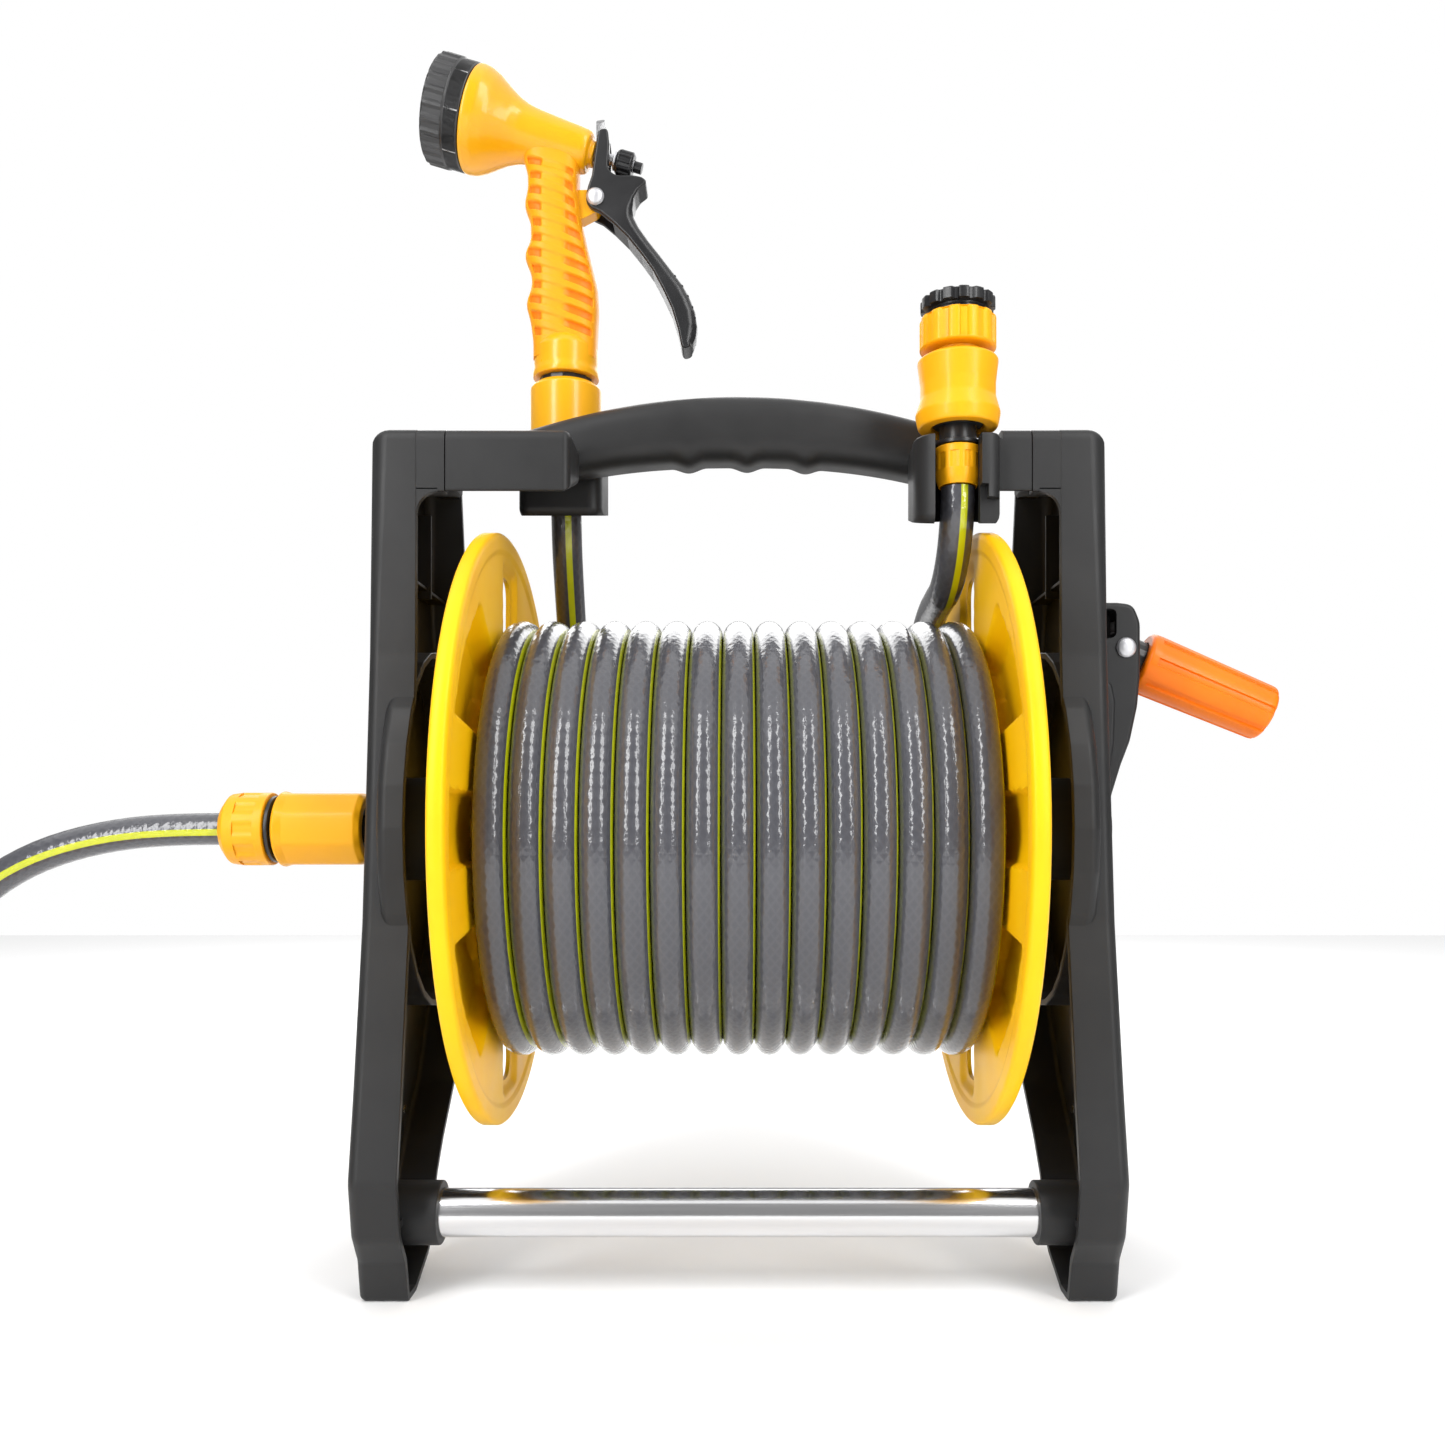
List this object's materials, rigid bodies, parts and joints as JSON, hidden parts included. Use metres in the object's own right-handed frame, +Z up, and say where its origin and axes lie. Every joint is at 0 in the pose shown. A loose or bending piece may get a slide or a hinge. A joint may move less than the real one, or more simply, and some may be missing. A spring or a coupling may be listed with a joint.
{
  "type": "garden hose reel",
  "caption": "Free-standing garden hose reel with a carry handle, a folding crank, a wound hose with a spray gun, a tap hose end and a supply hose on the hub inlet.",
  "frame": {"origin": "centre of the box around the reel itself (without its hoses and their connectors), at the ground under its feet", "axes": "+Z up, +X along the drum axis towards the crank, +Y to the rear"},
  "size_m": [0.8213, 0.2963, 0.5839],
  "materials": {
    "black_plastic": "fine satin moulded",
    "drum_yellow": "satin moulded",
    "connector_yellow": "satin moulded",
    "gun_yellow": "satin moulded",
    "grip_orange": "satin moulded",
    "hose_grey": "glossy braided PVC with a yellow-green stripe",
    "steel": "bright",
    "chrome": "polished",
    "rubber": "matt",
    "white_nylon": "matt"
  },
  "bodies": {
    "root": {"right_side_frame": "black_plastic", "left_side_frame": "black_plastic", "right_rear_foot": "black_plastic", "left_rear_foot": "black_plastic", "carry_handle": "black_plastic", "inlet_spigot": "black_plastic", "inlet_body": "black_plastic", "tap_hose_body": "black_plastic", "gun_hose_body": "black_plastic", "supply_end_body": "black_plastic", "gun_adapter": "black_plastic", "inlet_hose_nut": "connector_yellow", "tap_hose_hose_nut": "connector_yellow", "supply_end_hose_nut": "connector_yellow", "gun_body": "gun_yellow", "gun_hose_hose_nut": "gun_yellow", "hose_gun_end": "hose_grey", "hose_tap_end": "hose_grey", "supply_hose_drop": "hose_grey", "supply_hose_coil": "hose_grey", "supply_hose_tail": "hose_grey", "trigger_pin": "steel", "right_foot_screw_1": "steel", "right_foot_screw_2": "steel", "right_handle_screw_1": "steel", "right_handle_screw_2": "steel", "left_foot_screw_1": "steel", "left_foot_screw_2": "steel", "left_handle_screw_1": "steel", "left_handle_screw_2": "steel", "cross_tube": "chrome", "inlet_o_ring": "rubber", "right_hub_bush": "white_nylon", "left_hub_bush": "white_nylon"},
    "drum": {"left_flange": "drum_yellow", "right_flange": "drum_yellow", "drum_core": "drum_yellow", "drum_outlet_elbow": "black_plastic", "hose_winding": "hose_grey", "crank_axle": "steel", "crank_arm": "black_plastic", "crank_screw": "steel", "grip_fold_pin": "steel"},
    "grip_carrier": {"grip_spindle": "black_plastic"},
    "crank_grip": {"crank_grip": "grip_orange"},
    "nozzle_dial": {"nozzle_dial": "black_plastic", "nozzle_face": "black_plastic"},
    "trigger": {"trigger": "black_plastic"},
    "valve_stem": {"valve_stem": "steel"},
    "flow_knob": {"flow_knob": "black_plastic"},
    "trigger_latch": {"trigger_latch": "steel"},
    "tap_adapter": {"tap_adapter": "connector_yellow", "tap_reducer": "black_plastic"},
    "inlet_sleeve": {"inlet_release_sleeve": "connector_yellow"},
    "tap_hose_sleeve": {"tap_hose_release_sleeve": "connector_yellow"},
    "gun_hose_sleeve": {"gun_hose_release_sleeve": "gun_yellow"},
    "supply_end_sleeve": {"supply_end_release_sleeve": "connector_yellow"}
  },
  "joints": [
    {"name": "drum_spin", "type": "hinge", "parent": "root", "child": "drum", "pos_m": [-0.02785, 0, 0.2], "axis": [1, 0, 0], "continuous": true},
    {"name": "crank_fold", "type": "hinge", "parent": "drum", "child": "grip_carrier", "pos_m": [0.14785, 0, 0.2823], "axis": [0, 1, 0], "range_deg": [-22.8, 47]},
    {"name": "grip_spin", "type": "hinge", "parent": "grip_carrier", "child": "crank_grip", "pos_m": [0.14832, 0, 0.28341], "axis": [0.9219, 0, -0.3875], "continuous": true},
    {"name": "nozzle_dial_turn", "type": "hinge", "parent": "root", "child": "nozzle_dial", "pos_m": [-0.17814, 0.038, 0.5596], "axis": [0.9591, 0, -0.283], "continuous": true},
    {"name": "trigger_pull", "type": "hinge", "parent": "root", "child": "trigger", "pos_m": [-0.09845, 0.038, 0.5117], "axis": [0, 1, 0], "range_deg": [0, 14], "stiffness_Nm_per_rad": 2, "springref_deg": -5.73},
    {"name": "valve_stem_slide", "type": "slide", "parent": "root", "child": "valve_stem", "axis": [0.9591, 0, -0.283], "range_m": [0, 0.006]},
    {"name": "flow_knob_turn", "type": "hinge", "parent": "valve_stem", "child": "flow_knob", "pos_m": [-0.17814, 0.038, 0.5596], "axis": [0.9591, 0, -0.283], "range_deg": [0, 540]},
    {"name": "trigger_latch_swing", "type": "hinge", "parent": "root", "child": "trigger_latch", "pos_m": [-0.09785, 0.038, 0.5426], "axis": [0, 1, 0], "range_deg": [0, 55]},
    {"name": "tap_adapter_spin", "type": "hinge", "parent": "root", "child": "tap_adapter", "pos_m": [0.06815, -0.038, 0.409], "axis": [0, 0, 1], "continuous": true},
    {"name": "inlet_sleeve_slide", "type": "slide", "parent": "root", "child": "inlet_sleeve", "axis": [-1, 0, 0], "range_m": [0, 0.0025], "stiffness_N_per_m": 800, "springref_m": -0.003},
    {"name": "tap_hose_sleeve_slide", "type": "slide", "parent": "root", "child": "tap_hose_sleeve", "axis": [0, 0, -1], "range_m": [0, 0.0025], "stiffness_N_per_m": 800, "springref_m": -0.003},
    {"name": "gun_hose_sleeve_slide", "type": "slide", "parent": "root", "child": "gun_hose_sleeve", "axis": [0, 0, -1], "range_m": [0, 0.0025], "stiffness_N_per_m": 800, "springref_m": -0.003},
    {"name": "supply_end_sleeve_slide", "type": "slide", "parent": "root", "child": "supply_end_sleeve", "axis": [-1, 0, 0], "range_m": [0, 0.0025], "stiffness_N_per_m": 800, "springref_m": -0.003}
  ],
  "couplings": [
    {"joint": "valve_stem_slide", "follows": "trigger_pull", "m_per_rad": 0.0234}
  ]
}
